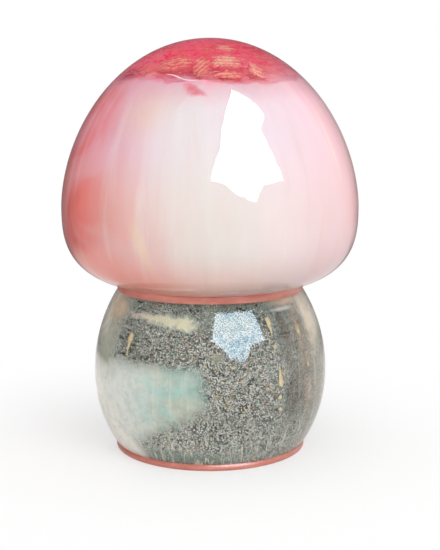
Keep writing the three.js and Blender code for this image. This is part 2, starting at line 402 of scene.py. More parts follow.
def pearl():
    """Pearl pink mica resin, white in front, rose at the left side with painted shade darkening its left
    limb, coral under the rim.
    """
    tree = Tree("pearl_resin")
    mix, ramp, times, scaled = tree.mix, tree.ramp, tree.times, tree.scaled
    place = tree.place()
    x, y, z = tree.split(place)
    wide = tree.streaks(place, 1.6, 0.03, 3.0, 0.55, 0.6)
    fine = tree.streaks(place, 7.0, 0.035, 4.0, 0.6, 0.4)
    cloud = tree.noise(place, 0.06, 3.0, 0.5, 0.8)
    wander = tree.math("SUBTRACT", scaled(fine, 0.45, wide), 0.72)

    # How far a point is turned to the left: 0 at the right, 0.5 in front and behind, 1 at the left
    turned = tree.math("DIVIDE", x, tree.most(tree.radius(x, y), 1.0))
    turned = scaled(wander, 0.16, scaled(turned, -0.5, 0.5))
    turned = scaled(tree.math("SUBTRACT", z, 52.0), -0.0022, turned)
    # Painted shade: the last colours darken the rose to deep red at the left limb
    colour = tree.colours(turned, *PEARL_ROUND_AND_SHADE)
    colour = mix(ramp(cloud, 0.4, 0.7, 0.0, 0.3), colour, MILK)
    pinker = times(ramp(z, 56.0, 72.0), ramp(turned, 0.5, 0.85, 0.3, 1.0))
    colour = mix(pinker, colour, MAUVE, "MULTIPLY")

    # Coral under the rim, less of it at the right and deeper towards the left
    low = ramp(scaled(wander, 8.0, z), 50.0, 40.0)
    low = times(low, ramp(turned, 0.1, 0.55, 0.25, 0.95))
    colour = mix(low, colour, mix(ramp(turned, 0.5, 0.85), PALE_SALMON, SALMON))
    grain = times(ramp(z, 43.0, 39.0), ramp(tree.noise(place, 3.5, 2.0), 0.52, 0.66))
    colour = mix(times(grain, 0.45), colour, APRICOT)

    # Streaks of coral and of cream that ran down in the mould, and a drip of straw yellow
    colour = mix(ramp(fine, 0.52, 0.76, 0.0, 0.28), colour, CORAL_STREAK)
    colour = mix(ramp(fine, 0.48, 0.26, 0.0, 0.25), colour, CREAM_STREAK)
    hair = ramp(tree.streaks(place, 34.0, 0.02, 2.0, 0.6), 0.55, 0.66)
    hair = times(hair, spot(tree, place, (26.0, -8.0, 70.0), (9.0, 13.0, 15.0)), 0.5)
    colour = mix(hair, colour, BLOND)
    glow = spot(tree, place, (-12.5, -22.0, 77.0), (8.5, 9.0, 9.5), 0.1)
    glow = times(glow, ramp(tree.noise(place, 0.5, 4.0, 0.7), 0.3, 0.65, 0.2, 0.65))
    colour = mix(glow, colour, HONEY)
    slant = scaled(tree.math("SUBTRACT", z, 49.5), 0.38, x)
    slant = tree.join(scaled(wander, 4.0, slant), y, z)
    drip = spot(tree, slant, (-13.6, -29.0, 49.0), (2.2, 5.0, 8.5), 0.1)
    colour = mix(times(drip, 0.55), colour, STRAW)

    # The red of the crown bleeds into the pearl under and below it, thinly at the front right
    edge = scaled(tree.noise(place, 0.35, 4.0, 0.6, 1.0), 2.4, scaled(wander, -7.0, z))
    colour = mix(ramp(edge, 77.5, 84.5, 0.0, 0.65), colour, RASPBERRY)
    ragged = tree.swing(place, 0.6, 4.0, 0.6)
    poured = scaled(ragged, 0.9, tree.attribute("poured"))
    stain = tree.most(ramp(edge, 82.4, 84.2), ramp(poured, -0.3, 0.2))
    thin = times(ramp(scaled(ragged, 5.0, x), 10.0, 16.5), ramp(y, 2.0, -3.0))
    stain = times(stain, scaled(thin, -0.7, 1.0))
    red = mix(ramp(poured, 0.8, 0.0, 0.0, 0.8), crown_swirl(tree, place), PINK)
    colour = mix(stain, colour, red)
    # Painted shade: a dark maroon patch at the left edge of the crown
    shade = spot(tree, place, (-16.0, -6.0, 84.0), (7.0, 9.0, 4.5), 0.2)
    colour = mix(times(shade, 0.9), colour, SHADE_MAROON)
    lilac = spot(tree, place, (-6.0, -17.0, 83.3), (6.5, 6.0, 3.2), 0.3)
    colour = mix(times(lilac, 0.85), colour, LILAC)

    # A smear of red under the fold, slanting down to the right and narrower there
    wavy = tree.swing(place, 0.45, 3.0, 0.6)
    across = tree.math("ADD", x, 3.0)
    down = scaled(across, 0.42, tree.math("SUBTRACT", z, 80.3))
    down = tree.math("DIVIDE", scaled(wavy, 1.3, down), ramp(across, -2.5, 3.0, 1.3, 0.5))
    smear = tree.join(scaled(wavy, 0.9, across), down, y)
    smear = spot(tree, smear, (0.0, 0.0, -22.5), (3.4, 1.7, 4.5), 0.35)
    smear = times(smear, ramp(tree.noise(place, 0.9, 4.0, 0.7), 0.25, 0.6, 0.55, 1.0), 0.9)
    colour = mix(smear, colour, CRIMSON)

    # Mica flakes too small to see one by one
    mica = tree.noise(place, 2.6, 2.0, 0.7)
    return tree.opaque(
        Base_Color=colour,
        Roughness=ramp(mica, 0.35, 0.65, 0.5, 0.38),
        Specular_IOR_Level=0.0,
        Normal=tree.bump(tree.math("ADD", mica, times(fine, 2.0)), 0.05),
    )


# Colours of the red in the crown: the resin, and the patches and threads stirred into it
DEEP_ROSE, ROSE = (0.92, 0.11, 0.22), (1.0, 0.36, 0.46)
ORANGE, GOLD_THREAD = (1.0, 0.42, 0.32), (1.0, 0.66, 0.48)


def crown_swirl(tree, place):
    """Rose red resin with patches and threads of orange and gold stirred into it."""
    swirl = tree.noise(place, 0.28, 5.0, 0.62, 2.2)
    rosy = tree.mix(tree.ramp(swirl, 0.34, 0.6), DEEP_ROSE, ROSE)
    patch = tree.ramp(tree.noise(place, 0.17, 3.0, 0.6, 0.8), 0.46, 0.64, 0.0, 0.55)
    rosy = tree.mix(patch, rosy, ORANGE)
    ridge = tree.math("ABSOLUTE", tree.swing(place, 0.6, 5.0, 0.62, 3.0))
    gold = tree.times(tree.ramp(ridge, 0.06, 0.0), tree.ramp(swirl, 0.36, 0.52), 0.8)
    return tree.mix(gold, rosy, GOLD_THREAD)


def coral():
    """Coral resin with a little mica, paler where the mica lies."""
    tree = Tree("coral_resin")
    place = tree.place()
    cloud = tree.streaks(place, 3.0, 0.5, 4.0, 0.6)
    mica = tree.noise(place, 3.0, 2.0, 0.7)
    colour = tree.mix(tree.ramp(cloud, 0.35, 0.65), (0.43, 0.115, 0.085), (0.54, 0.20, 0.15))
    colour = tree.mix(tree.ramp(mica, 0.6, 0.72, 0.0, 0.5), colour, (0.78, 0.48, 0.38))
    return tree.opaque(
        Base_Color=colour,
        Roughness=tree.ramp(mica, 0.4, 0.7, 0.4, 0.25),
        Coat_Weight=0.3,
        Coat_Roughness=0.15,
        Normal=tree.bump(tree.math("ADD", mica, cloud), 0.03),
    )


def fold_resin():
    """Pearl resin that is nearly white, with pink in its hollows."""
    tree = Tree("pearl_fold")
    place = tree.place()
    grain = tree.noise(place, 1.2, 3.0, 0.6)
    return tree.opaque(
        Base_Color=tree.mix(tree.ramp(grain, 0.35, 0.6), (0.9, 0.62, 0.68), (0.98, 0.86, 0.86)),
        Roughness=tree.ramp(grain, 0.3, 0.7, 0.3, 0.5),
        Normal=tree.bump(grain, 0.04),
    )


def metal(name, bright, dark, ripple):
    """Shreds of leaf or mica, darker in the hollows of their crinkles and brighter on their ridges."""
    tree = Tree(name)
    place = tree.place()
    crease = tree.noise(place, ripple, 4.0, 0.65, 1.2)
    fine = tree.noise(place, ripple * 4.0, 2.0, 0.6)
    colour = tree.mix(tree.ramp(crease, 0.36, 0.6), dark, bright)
    return tree.opaque(
        Base_Color=colour,
        Metallic=0.05,
        Roughness=tree.ramp(fine, 0.3, 0.7, 0.4, 0.6),
        Normal=tree.bump(tree.scaled(fine, 0.3, crease), 0.12),
    )


def foil():
    """Leaf whose ripples carry a painted highlight, peach on their crests, and painted shade, red between;
    sunk in the resin at its edge.
    """
    tree = Tree("metal_leaf")
    place = tree.place()
    fine = tree.noise(place, 2.6, 4.0, 0.65, 1.0)
    crest_highlight = tree.scaled(tree.math("SUBTRACT", fine, 0.5), 0.9, tree.attribute("crest_highlight"))
    # Painted highlight and painted shade: peach where the leaf lies high on a ripple, deep red in the
    # hollows between
    colour = tree.colours(
        crest_highlight,
        (0.0, (0.86, 0.13, 0.15)),
        (0.3, (1.0, 0.34, 0.27)),
        (0.5, (1.0, 0.44, 0.34)),
        (0.75, (1.0, 0.64, 0.48)),
    )
    cover = tree.scaled(tree.swing(place, 1.1, 4.0, 0.65, 1.0), 1.5, tree.attribute("within"))
    return tree.opaque(
        Base_Color=colour,
        Metallic=0.05,
        Roughness=tree.ramp(fine, 0.3, 0.7, 0.3, 0.5),
        Alpha=tree.ramp(cover, 0.0, 0.55),
        Normal=tree.bump(fine, 0.1),
    )


# Colours of the mica in the stem, and of the painted reflections, painted light and painted shade on its
# skin
SAGE, AQUA, MINT, IVORY = (0.66, 0.72, 0.62), (0.50, 0.74, 0.68), (0.98, 1.0, 0.95), (0.95, 0.94, 0.84)
OLIVE, KHAKI, CREAM, WHITE = (0.74, 0.74, 0.60), (0.60, 0.58, 0.46), (1.0, 0.96, 0.84), (1.0, 0.99, 0.9)
YELLOW, BLUSH, PEACH, SAND = (1.0, 0.97, 0.72), (1.0, 0.84, 0.70), (1.0, 0.80, 0.60), (1.0, 0.90, 0.78)
MOSS, SHADE_BROWN, FROST, TAN = (0.30, 0.41, 0.34), (0.12, 0.07, 0.06), (0.84, 0.90, 0.90), (0.46, 0.40, 0.24)


def haze():
    """Wisps of mica too fine to see one by one, under the stem's clear coat, together with painted
    reflections, painted light and painted shade on the same skin.
    """
    tree = Tree("mica_and_painted_light")
    mix, ramp, times, scaled = tree.mix, tree.ramp, tree.times, tree.scaled
    place = tree.place()
    x, y, z = tree.split(place)

    # Degrees right of the front, and noise that bends and breaks up what follows
    turned = times(tree.math("ARCTAN2", x, times(y, -1.0)), 180 / math.pi)
    drift = tree.swing(place, 0.16, 4.0, 0.6, 0.8)
    mottle = tree.swing(place, 0.5, 4.0, 0.65, 0.5)
    streak = tree.streaks(place, 9.0, 0.05, 3.0, 0.6, 0.5)
    thread = tree.streaks(place, 30.0, 0.06, 3.0, 0.6, 0.3)
    level = scaled(mottle, 2.5, scaled(drift, 4.0, z))
    angle = scaled(drift, 20.0, turned)

    # A painted reflection: a pale teal cloud at the front left, wide at the left and narrow towards the
    # middle
    slope = ramp(scaled(turned, -0.21, level), 12.4, 17.0)
    left = ramp(turned, -130.0, -85.0)
    cloud = times(ramp(level, 24.4, 20.8), slope)
    cloud = times(cloud, times(ramp(angle, 4.0, -12.0), left))

    # Painted light: the cloud's left end is nearly white, and reaches down to the foot
    lean = scaled(tree.math("SUBTRACT", level, 19.0), 1.57, turned)
    limb = times(ramp(lean, -58.0, -72.0), ramp(level, 23.0, 19.5), left)

    # A painted reflection: a yellow band above the cloud, thin at its left end
    under = scaled(tree.math("ADD", turned, 8.0), 0.053, level)
    yellow_reflection = times(ramp(under, 29.9, 31.3), ramp(level, 34.0, 32.8))
    yellow_reflection = times(yellow_reflection, times(ramp(angle, -3.0, -10.0), ramp(turned, -62.0, -48.0)))

    # Peach and cream under the collar at both sides, a white line below it, and a tan smudge
    peach = spot(tree, place, (-20.0, -10.0, 33.5), (5.5, 8.0, 4.5), 0.1)
    shore = spot(tree, place, (17.0, -13.0, 35.8), (8.5, 8.5, 2.4), 0.2)
    line = spot(tree, place, (16.0, -15.0, 33.9), (6.0, 6.0, 0.8), 0.2)
    smudge = spot(tree, place, (1.6, -25.2, 25.4), (2.6, 3.0, 1.7), 0.2)
    aside = tree.math("ABSOLUTE", tree.math("ADD", turned, 3.0))
    cream = times(ramp(aside, 54.0, 70.0), ramp(level, 21.5, 30.0))
    cream = times(cream, ramp(aside, 130.0, 95.0))

    # Streaks at the right, where they run upwards, painted reflections of the gold drops seen through the
    # resin, and short dashes at the foot
    side = times(ramp(turned, 40.0, 62.0), ramp(turned, 125.0, 95.0))
    lines = times(side, ramp(scaled(mottle, 0.25, streak), 0.5, 0.64))
    dash = ramp(tree.streaks(place, 21.0, 0.24, 3.0, 0.65, 0.4), 0.53, 0.66)
    foot = times(dash, ramp(level, 14.0, 6.0), ramp(turned, -60.0, -25.0, 0.5, 1.0))

    # Painted shade: a dark band where the right side begins; green at the foot, and olive above the left
    # limb
    dark_shade = times(ramp(angle, 33.0, 44.0), ramp(angle, 66.0, 54.0))
    dark_shade = times(dark_shade, ramp(streak, 0.4, 0.6, 0.3, 1.0), ramp(level, 5.0, 14.0))
    green = times(ramp(level, 5.5, 3.2), ramp(turned, 30.0, -5.0, 0.3, 1.0))
    green = times(green, ramp(turned, -45.0, -32.0))
    edge = times(ramp(turned, -50.0, -64.0), ramp(level, 20.0, 23.0), left)

    colour = mix(ramp(drift, -0.12, 0.12), SAGE, AQUA)
    colour = mix(ramp(turned, -16.0, -50.0, 0.0, 0.85), colour, MINT)
    colour = mix(ramp(thread, 0.5, 0.68, 0.0, 0.45), colour, IVORY)
    yellow = mix(ramp(turned, -28.0, -50.0), YELLOW, BLUSH)
    warm = mix(ramp(z, 15.0, 10.0), PEACH, SAND)
    for part, paint in (
        (edge, OLIVE), (times(side, tree.math("SUBTRACT", 1.0, lines)), KHAKI), (cream, CREAM),
        (limb, WHITE), (yellow_reflection, yellow), (green, MOSS), (dark_shade, SHADE_BROWN), (line, FROST), (smudge, TAN),
        (tree.most(tree.most(peach, shore), tree.most(lines, foot)), warm),
    ):
        colour = mix(part, colour, paint)
    cover = ramp(tree.noise(place, 0.12, 4.0, 0.7, 1.0), 0.55, 0.8, 0.0, 0.22)
    for part, share in (
        (cloud, 0.9), (limb, 0.97), (edge, 0.5), (yellow_reflection, 0.8), (peach, 0.85), (shore, 0.85), (line, 0.7),
        (smudge, 0.5), (lines, 0.4), (side, 0.3), (foot, 0.62), (green, 0.45), (cream, 0.92), (dark_shade, 0.3),
    ):
        cover = tree.most(cover, times(part, share))
    return tree.opaque(
        Base_Color=colour,
        Roughness=scaled(streak, 0.2, 0.5),
        Specular_IOR_Level=0.0,
        Alpha=times(cover, ramp(mottle, -0.2, 0.1, 0.75, 1.0)),
    )


# Colours of the flakes, from the most common to the rarest
SILVER, GOLD = (1.0, 0.98, 0.92), (1.0, 0.84, 0.60)
OLD_ROSE, SEA_GREEN = (0.85, 0.55, 0.52), (0.55, 0.8, 0.7)


def glitter():
    """Silver flakes with a few gold, rose and green ones."""
    tree = Tree("glitter")
    cell = tree.vector("FLOOR", tree.place())
    pick = tree.add("ShaderNodeTexWhiteNoise", {"Vector": cell}, noise_dimensions="3D").outputs["Value"]
    colour = tree.mix(tree.ramp(pick, 0.80, 0.84), SILVER, GOLD)
    colour = tree.mix(tree.ramp(pick, 0.90, 0.92), colour, OLD_ROSE)
    colour = tree.mix(tree.ramp(pick, 0.96, 0.98), colour, SEA_GREEN)
    return tree.opaque(Base_Color=colour, Roughness=tree.scaled(pick, 0.2, 0.25))


# The pieces


def make_base_disc(material):
    rounding = 0.5 * MM
    edge = [(FOOT_RADIUS - rounding * (1 - math.sin(t)), rounding * (1 - math.cos(t)))
            for t in evenly(0.0, math.pi / 2, 6)]
    outline = [(0.0, 0.0), (FOOT_RADIUS * 0.5, 0.0), *edge, (FOOT_RADIUS, STEM_FLOOR), (0.0, STEM_FLOOR)]
    dress(revolve("base_disc_coral", outline), material, "coral_resin", "base_disc")


def make_collar(material):
    middle, half = (STEM_TOP + CAP_SEAT) / 2, (CAP_SEAT - STEM_TOP) / 2
    swell = 0.12 * MM
    edge = [(NECK_RADIUS - swell + swell * math.cos(t), middle + half * math.sin(t))
            for t in evenly(-math.pi / 2, math.pi / 2, 12)]
    outline = [(0.0, STEM_TOP), *edge, (0.0, CAP_SEAT)]
    dress(revolve("collar_disc_coral", outline), material, "coral_resin", "collar_disc")


def make_barrel(name, inset, reach, material, slot, node):
    """A barrel that follows the stem's wall; reach is how far it goes into the discs."""
    low, high = STEM_FLOOR - reach, STEM_TOP + reach
    wall = [(stem_wall(level, inset), level) for level in evenly(low, high, OUTLINE_STEPS)]
    outline = [(0.0, low), *wall, (0.0, high)]
    dress(revolve(name, outline), material, slot, node)


# How many flakes the stem holds, how far the nearest lie inside the smoky resin, how far in their
# number falls to a third, the radius in mm of the smallest and what the largest have more, their
# thickness as a share of the radius, and how far they lean
FLAKES = 49000
FLAKE_COVER = 0.12 * MM
FLAKE_FADE = 1.0 * MM
FLAKE_RADIUS, FLAKE_GROWTH = 0.135, 0.11
FLAKE_THICKNESS, FLAKE_TILT = 0.25, 0.35

# Radii of a flow line's bulb, of a bead and of a tail's thin end, and the wobble of the tails
BULB, BEAD, THIN_END = 0.65 * MM, 0.5 * MM, 0.16 * MM
WOBBLE, WOBBLE_WIDTH = 0.35 * MM, 1.7 * MM

# The flow lines: node, direction in degrees, place on the wall, radius of the bulb, length of the tail
FLOW_LINES = (
    ("gold_drop_1", -56, 0.884, BULB, -3.2 * MM),
    ("gold_drop_2", -53, 0.503, BULB, 4.0 * MM),
    ("gold_drop_3", -36, 0.786, BULB, 3.6 * MM),
    ("gold_drop_4", -33, 0.58, BULB, 2.6 * MM),
    ("gold_drop_5", -135, 0.777, BULB, -4.0 * MM),
    ("gold_bead_1", -55, 0.731, BEAD, 0.6 * MM),
    ("gold_bead_2", -54, 0.422, BEAD, 0.6 * MM),
    ("gold_bead_3", -53, 0.344, BEAD, 0.6 * MM),
)


def flow_level(place):
    return STEM_FLOOR + (STEM_TOP - STEM_FLOOR) * place


def over_flow_line(around, level):
    """Whether a flake would lie in front of a flow line."""
    for _, direction, place, bulb, tail in FLOW_LINES:
        aside = math.remainder(around - math.radians(direction), 2 * math.pi) * stem_wall(level)
        along = (level - flow_level(place)) * (-1.0 if tail < 0 else 1.0)
        narrow = 1.0 - 0.7 * max(along, 0.0) / abs(tail)
        if abs(aside) < bulb * narrow + FLAKE_COVER and -bulb < along < abs(tail):
            return True
    return False


def flake_share(around, level):
    """How much of the glitter settled in a place: clouds, and more of it low down at the front right."""
    height = (level - STEM_FLOOR) / (STEM_TOP - STEM_FLOOR)
    cloud = noise.noise(Vector(polar(1.3, around, 2.2 * height)))
    settled = 0.5 + 0.5 * math.cos(around - math.radians(-68.0))
    bare = 0.6 * max(0.0, height - 0.82) / 0.18
    return 0.36 + 0.5 * cloud + 0.9 * settled * (1.0 - 0.7 * height) - bare


def make_glitter(material):
    """Thousands of thin closed flakes, most of them near the wall and lying along it."""
    draw = random.Random(7)
    margin = 0.2 * MM
    corners, faces, count = [], [], 0
    while count < FLAKES:
        level = STEM_FLOOR + margin + draw.random() * (STEM_TOP - STEM_FLOOR - 2 * margin)
        around = 2 * math.pi * draw.random()
        if draw.random() > flake_share(around, level) or over_flow_line(around, level):
            continue
        count += 1
        depth = FLAKE_COVER - FLAKE_FADE * math.log(1.0 - 0.999 * draw.random())
        centre = Vector(polar(max(stem_wall(level, STEM_INSET) - depth, 0.0), around, level))
        size = (FLAKE_RADIUS + FLAKE_GROWTH * draw.random() ** 2) * MM
        turn = Matrix.Rotation(2 * math.pi * draw.random(), 3, "Z")
        tip = Vector(polar(1.0, around, 0.1))
        tip += FLAKE_TILT * Vector((draw.gauss(0, 1), draw.gauss(0, 1), draw.gauss(0, 1)))
        turn = tip.normalized().to_track_quat("Z", "Y").to_matrix() @ turn
        first = len(corners)
        corners += [centre + turn @ Vector(polar(size, angle, 0.0)) for angle in turns(3)]
        corners.append(centre + turn @ Vector((0.0, 0.0, FLAKE_THICKNESS * size)))
        faces.append((first + 2, first + 1, first))
        for index in range(3):
            faces.append((first + index, first + (index + 1) % 3, first + 3))
    piece = add_mesh("stem_glitter_flakes", corners, faces, smooth=False)
    dress(piece, material, "glitter_resin", "stem_glitter_core")


def make_haze(material):
    """A skin 0.05 mm thick just under the clear coat, on which the wisps of mica and the painted
    reflections, light and shade lie.
    """
    outer, thick = STEM_INSET + 0.02 * MM, 0.05 * MM
    levels = evenly(STEM_FLOOR + thick, STEM_TOP - thick, OUTLINE_STEPS)
    outside = [(stem_wall(level, outer), level) for level in levels]
    inside = [(stem_wall(level, outer + thick), level) for level in reversed(levels)]
    dress(revolve("stem_mica_and_painted_light", [*outside, *inside, outside[0]]), material, "glitter_resin")


def make_flow_line(node, around, place, bulb, tail, material):
    """A teardrop of mica with a thin tail, lying against the inside of the clear coat."""
    level = flow_level(place)
    length = abs(tail)
    outline = [(0.0, -bulb)]
    outline += [(bulb * math.sin(t), -bulb * math.cos(t)) for t in evenly(0.0, math.pi / 2, 8)[1:-1]]
    for share in evenly(0.0, 1.0, 16):
        neck = THIN_END + (bulb - THIN_END) * math.cos(math.pi / 2 * share) ** 2.4
        outline.append((neck, length * share))
    outline.append((0.0, length + THIN_END))
    flip = -1.0 if tail < 0 else 1.0
    direction = math.radians(around)

    def lay(corner):
        height = level + flip * corner.z
        wobble = WOBBLE * math.sin(corner.z / WOBBLE_WIDTH + around)
        inset = STEM_INSET + bulb * 0.55
        radius = stem_wall(min(max(height, STEM_FLOOR), STEM_TOP), inset) + 0.55 * flip * corner.x
        across = corner.y + wobble * max(corner.z, 0.0) / max(length, bulb)
        lump = 1.0 + 0.18 * noise.noise(Vector((around, height / MM * 0.8, corner.y / MM)))
        return Vector((
            radius * math.cos(direction) - lump * across * math.sin(direction),
            radius * math.sin(direction) + lump * across * math.cos(direction),
            height,
        ))

    piece = revolve(node + "_mica", outline, 24, lay)
    dress(piece, material, "gold_mica", node)


def on_crown(around, tilt, inset):
    """A point under the dome, by its direction round the axis and its angle from the apex."""
    radius, height = crown_point(tilt, inset)
    return polar(radius, around, height)


def last_tilt(holds, low, rounds):
    """The largest angle from the apex at which a condition holds."""
    high = math.pi / 2
    for _ in range(rounds):
        middle = (low + high) / 2
        if holds(middle):
            low = middle
        else:
            high = middle
    return (low + high) / 2


def crown_edge(around):
    """The angle on the pearl's dome where the wavy floor of the red pour comes out."""
    def over_floor(tilt):
        x, y, height = on_crown(around, tilt, CAP_INSET)
        return height > pour_floor(x, y)

    return last_tilt(over_floor, 0.05, 24)


def make_pearl_core(material):
    """The pearl body: rim and dome up to the wavy edge of the red pour, then the pour's floor."""
    floor_steps = 40
    rim = rim_outline(CAP_INSET, JOINT_RADIUS)
    corners, columns, poured = [(0.0, 0.0, CAP_SEAT - BOND)], [], [0.0]
    for around in turns(TURN_SEGMENTS):
        edge = crown_edge(around)
        points = [(JOINT_RADIUS, CAP_SEAT - BOND), *rim]
        points += [crown_point(tilt, CAP_INSET) for tilt in evenly(math.pi / 2, edge, OUTLINE_STEPS)[1:]]
        edge_radius = points[-1][0]
        column = []
        for radius, height in points:
            column.append(len(corners))
            corners.append(polar(radius, around, height))
            poured.append(max((height - points[-1][1]) / (2.0 * MM), -1.0))
        for step in range(1, floor_steps):
            x, y, _ = polar(edge_radius * (1 - step / floor_steps), around, 0.0)
            column.append(len(corners))
            corners.append((x, y, pour_floor(x, y)))
            poured.append(min(5 * step / floor_steps, 1.0))
        columns.append(column)
    corners.append((0.0, 0.0, pour_floor(0.0, 0.0)))
    poured.append(1.0)
    apex, faces = len(corners) - 1, []
    for column, after in zip(columns, columns[1:] + columns[:1]):
        faces.append((0, after[0], column[0]))
        for low in range(len(column) - 1):
            faces.append((column[low], after[low], after[low + 1], column[low + 1]))
        faces.append((column[-1], after[-1], apex))
    piece = add_mesh("cap_pearl_body", corners, faces)
    piece.data.attributes.new("poured", "FLOAT", "POINT").data.foreach_set("value", poured)
    dress(piece, material, "pearl_resin", "cap_pearl_core")


def make_cap_clear(material):
    """The clear coat, with the clear part of the crown; its inner wall lies inside the pearl."""
    hidden = CAP_INSET + 0.8 * MM
    under_pour = POUR_LEVEL - 3.0 * MM
    inner = [(radius, height) for radius, height in crown_outline(hidden) if height < under_pour]
    outline = [(0.0, under_pour), (inner[-1][0] * 0.98, under_pour), *reversed(inner)]
    outline += list(reversed(rim_outline(hidden, JOINT_RADIUS)))
    outline += [(JOINT_RADIUS, CAP_SEAT - BOND), (NECK_RADIUS - BOND, CAP_SEAT - BOND)]
    outline += rim_outline(0.0, NECK_RADIUS) + crown_outline(0.0)
    dress(revolve("cap_clear_shell", outline), material, "pink_clear_resin", "cap_clear_coat")


def make_red_pour(material):
    """The red pour: a lens in the crown whose edge dips under the pearl."""
    inset, dip = CAP_INSET + 0.05 * MM, 2.2 * MM
    floor = POUR_LEVEL - dip
    dome = [(radius, height) for radius, height in crown_outline(inset) if height > floor]
    outline = [(0.0, floor), (dome[0][0] * 0.97, floor), *dome]
    dress(revolve("crown_red_lens", outline), material, "red_resin", "crown_red_pour")


# The pieces of leaf: node, direction in degrees, place from the apex (0) to the pour's edge (1), half
# the length and the breadth as shares of LEAF_REACH, depth in mm, slant of the ripples, and how strong its
# painted highlight is
LEAVES = (
    ("crown_leaf_1", -75, 0.68, 0.69, 1.0, 0.45, -8, 1.1),
    ("crown_leaf_2", -78, 0.87, 0.41, 0.72, 0.45, 6, 0.7),
    ("crown_leaf_3", -95, 0.79, 0.94, 0.47, 0.55, 55, 0.55),
    ("crown_leaf_4", -56, 0.82, 0.66, 0.41, 0.45, -35, 0.9),
    ("crown_leaf_5", -71, 0.44, 0.44, 0.56, 0.5, -20, 0.8),
    ("crown_leaf_6", -117, 0.71, 0.69, 0.97, 0.6, 20, 0.5),
    ("crown_leaf_7", 62, 0.69, 0.84, 0.69, 0.5, 10, 0.9),
    ("crown_leaf_8", 160, 0.66, 0.72, 0.59, 0.6, -10, 0.7),
)


def make_leaf(node, around, place, length, breadth, depth, lines, painted_highlight, material):
    """A torn, rippled sheet of leaf that floats in the red pour. lines is how steeply its ripples run."""
    length, breadth = length * LEAF_REACH * LEAF_FRINGE, breadth * LEAF_REACH * LEAF_FRINGE
    inset = CAP_INSET + depth * MM
    turn, rows, spokes = math.radians(around), 16, 64
    tilt = crown_edge(turn) * place
    radius, height = crown_point(tilt, inset)
    below, above = crown_point(tilt + 0.02, inset), crown_point(tilt - 0.02, inset)
    up = Vector((above[0] - below[0], 0.0, above[1] - below[1])).normalized()
    out = Vector((up.z, 0.0, -up.x))
    side = Vector((0.0, 1.0, 0.0))
    centre = Vector((radius, 0.0, height))
    spin = Matrix.Rotation(turn, 3, "Z")
    seed = Vector((around, place * 50, length / MM))
    slope = math.radians(lines)

    def sheet(share, angle, lift):
        """A corner of the sheet, its painted highlight from how high it lies on a ripple, and how far it is
        inside the edge.
        """
        tear = 1.0
        for waves, swing in ((1.4, 0.3), (4.0, 0.25), (9.0, 0.12)):
            tear += swing * noise.noise(seed + Vector(polar(waves, angle, waves)))
        across, along = share * tear * breadth * math.cos(angle), share * tear * length * math.sin(angle)
        here = seed + Vector((across, along, 0.0)) / MM
        bend = noise.noise(here * 0.35)
        run = along * math.cos(slope) - across * math.sin(slope)
        ripple = math.sin(2 * math.pi * run / (RIPPLE * (1.0 + 0.25 * bend)) + 5.0 * bend)
        crinkle = noise.noise(here * 1.3)
        drop = (across * across + along * along) / (2 * LEAF_BEND_RADIUS)
        rise = (RIPPLE_RISE * ripple + CRINKLE_RISE * crinkle + BEND_RISE * bend) * MM
        rise += lift - drop - LEAF_DROOP * share ** 4
        # Painted highlight: the higher the corner lies on a ripple or crinkle, the brighter, on top of the
        # leaf's own highlight strength
        crest_highlight = 0.5 * painted_highlight + 0.24 * ripple + 0.34 * crinkle
        return spin @ (centre + side * across + up * along + out * rise), crest_highlight, 1.0 - share

    points, faces = [], []
    for lift in (FOIL_HALF, -FOIL_HALF):
        points.append(sheet(0.0, 0.0, lift))
        for row in range(1, rows + 1):
            points += [sheet(row / rows, angle, lift) for angle in turns(spokes)]
    count = 1 + rows * spokes
    for layer in (0, count):
        for spoke in range(spokes):
            after = (spoke + 1) % spokes
            face = [(layer, layer + 1 + spoke, layer + 1 + after)]
            for row in range(rows - 1):
                low, high = layer + 1 + row * spokes, layer + 1 + (row + 1) * spokes
                face.append((low + spoke, high + spoke, high + after, low + after))
            faces += [tuple(reversed(f)) for f in face] if layer else face
    rim = 1 + (rows - 1) * spokes
    for spoke in range(spokes):
        after = (spoke + 1) % spokes
        faces.append((rim + after, rim + spoke, count + rim + spoke, count + rim + after))
    piece = add_mesh(node + "_foil", [point[0] for point in points], faces)
    for place_in_point, name in ((1, "crest_highlight"), (2, "within")):
        values = piece.data.attributes.new(name, "FLOAT", "POINT")
        values.data.foreach_set("value", [point[place_in_point] for point in points])
    dress(piece, material, "metal_leaf", node)


# The loose shreds: how many, half the width of their tips, the height of their curls, the radius that
# they bend to under the dome, and the point that they face away from
SHREDS = 260
SHRED_TIP, SHRED_RISE, SHRED_BEND_RADIUS = 0.01 * MM, 0.08 * MM, 26 * MM
DOME_MIDDLE = Vector((0.0, 0.0, CAP_WIDEST - 4.0 * MM))


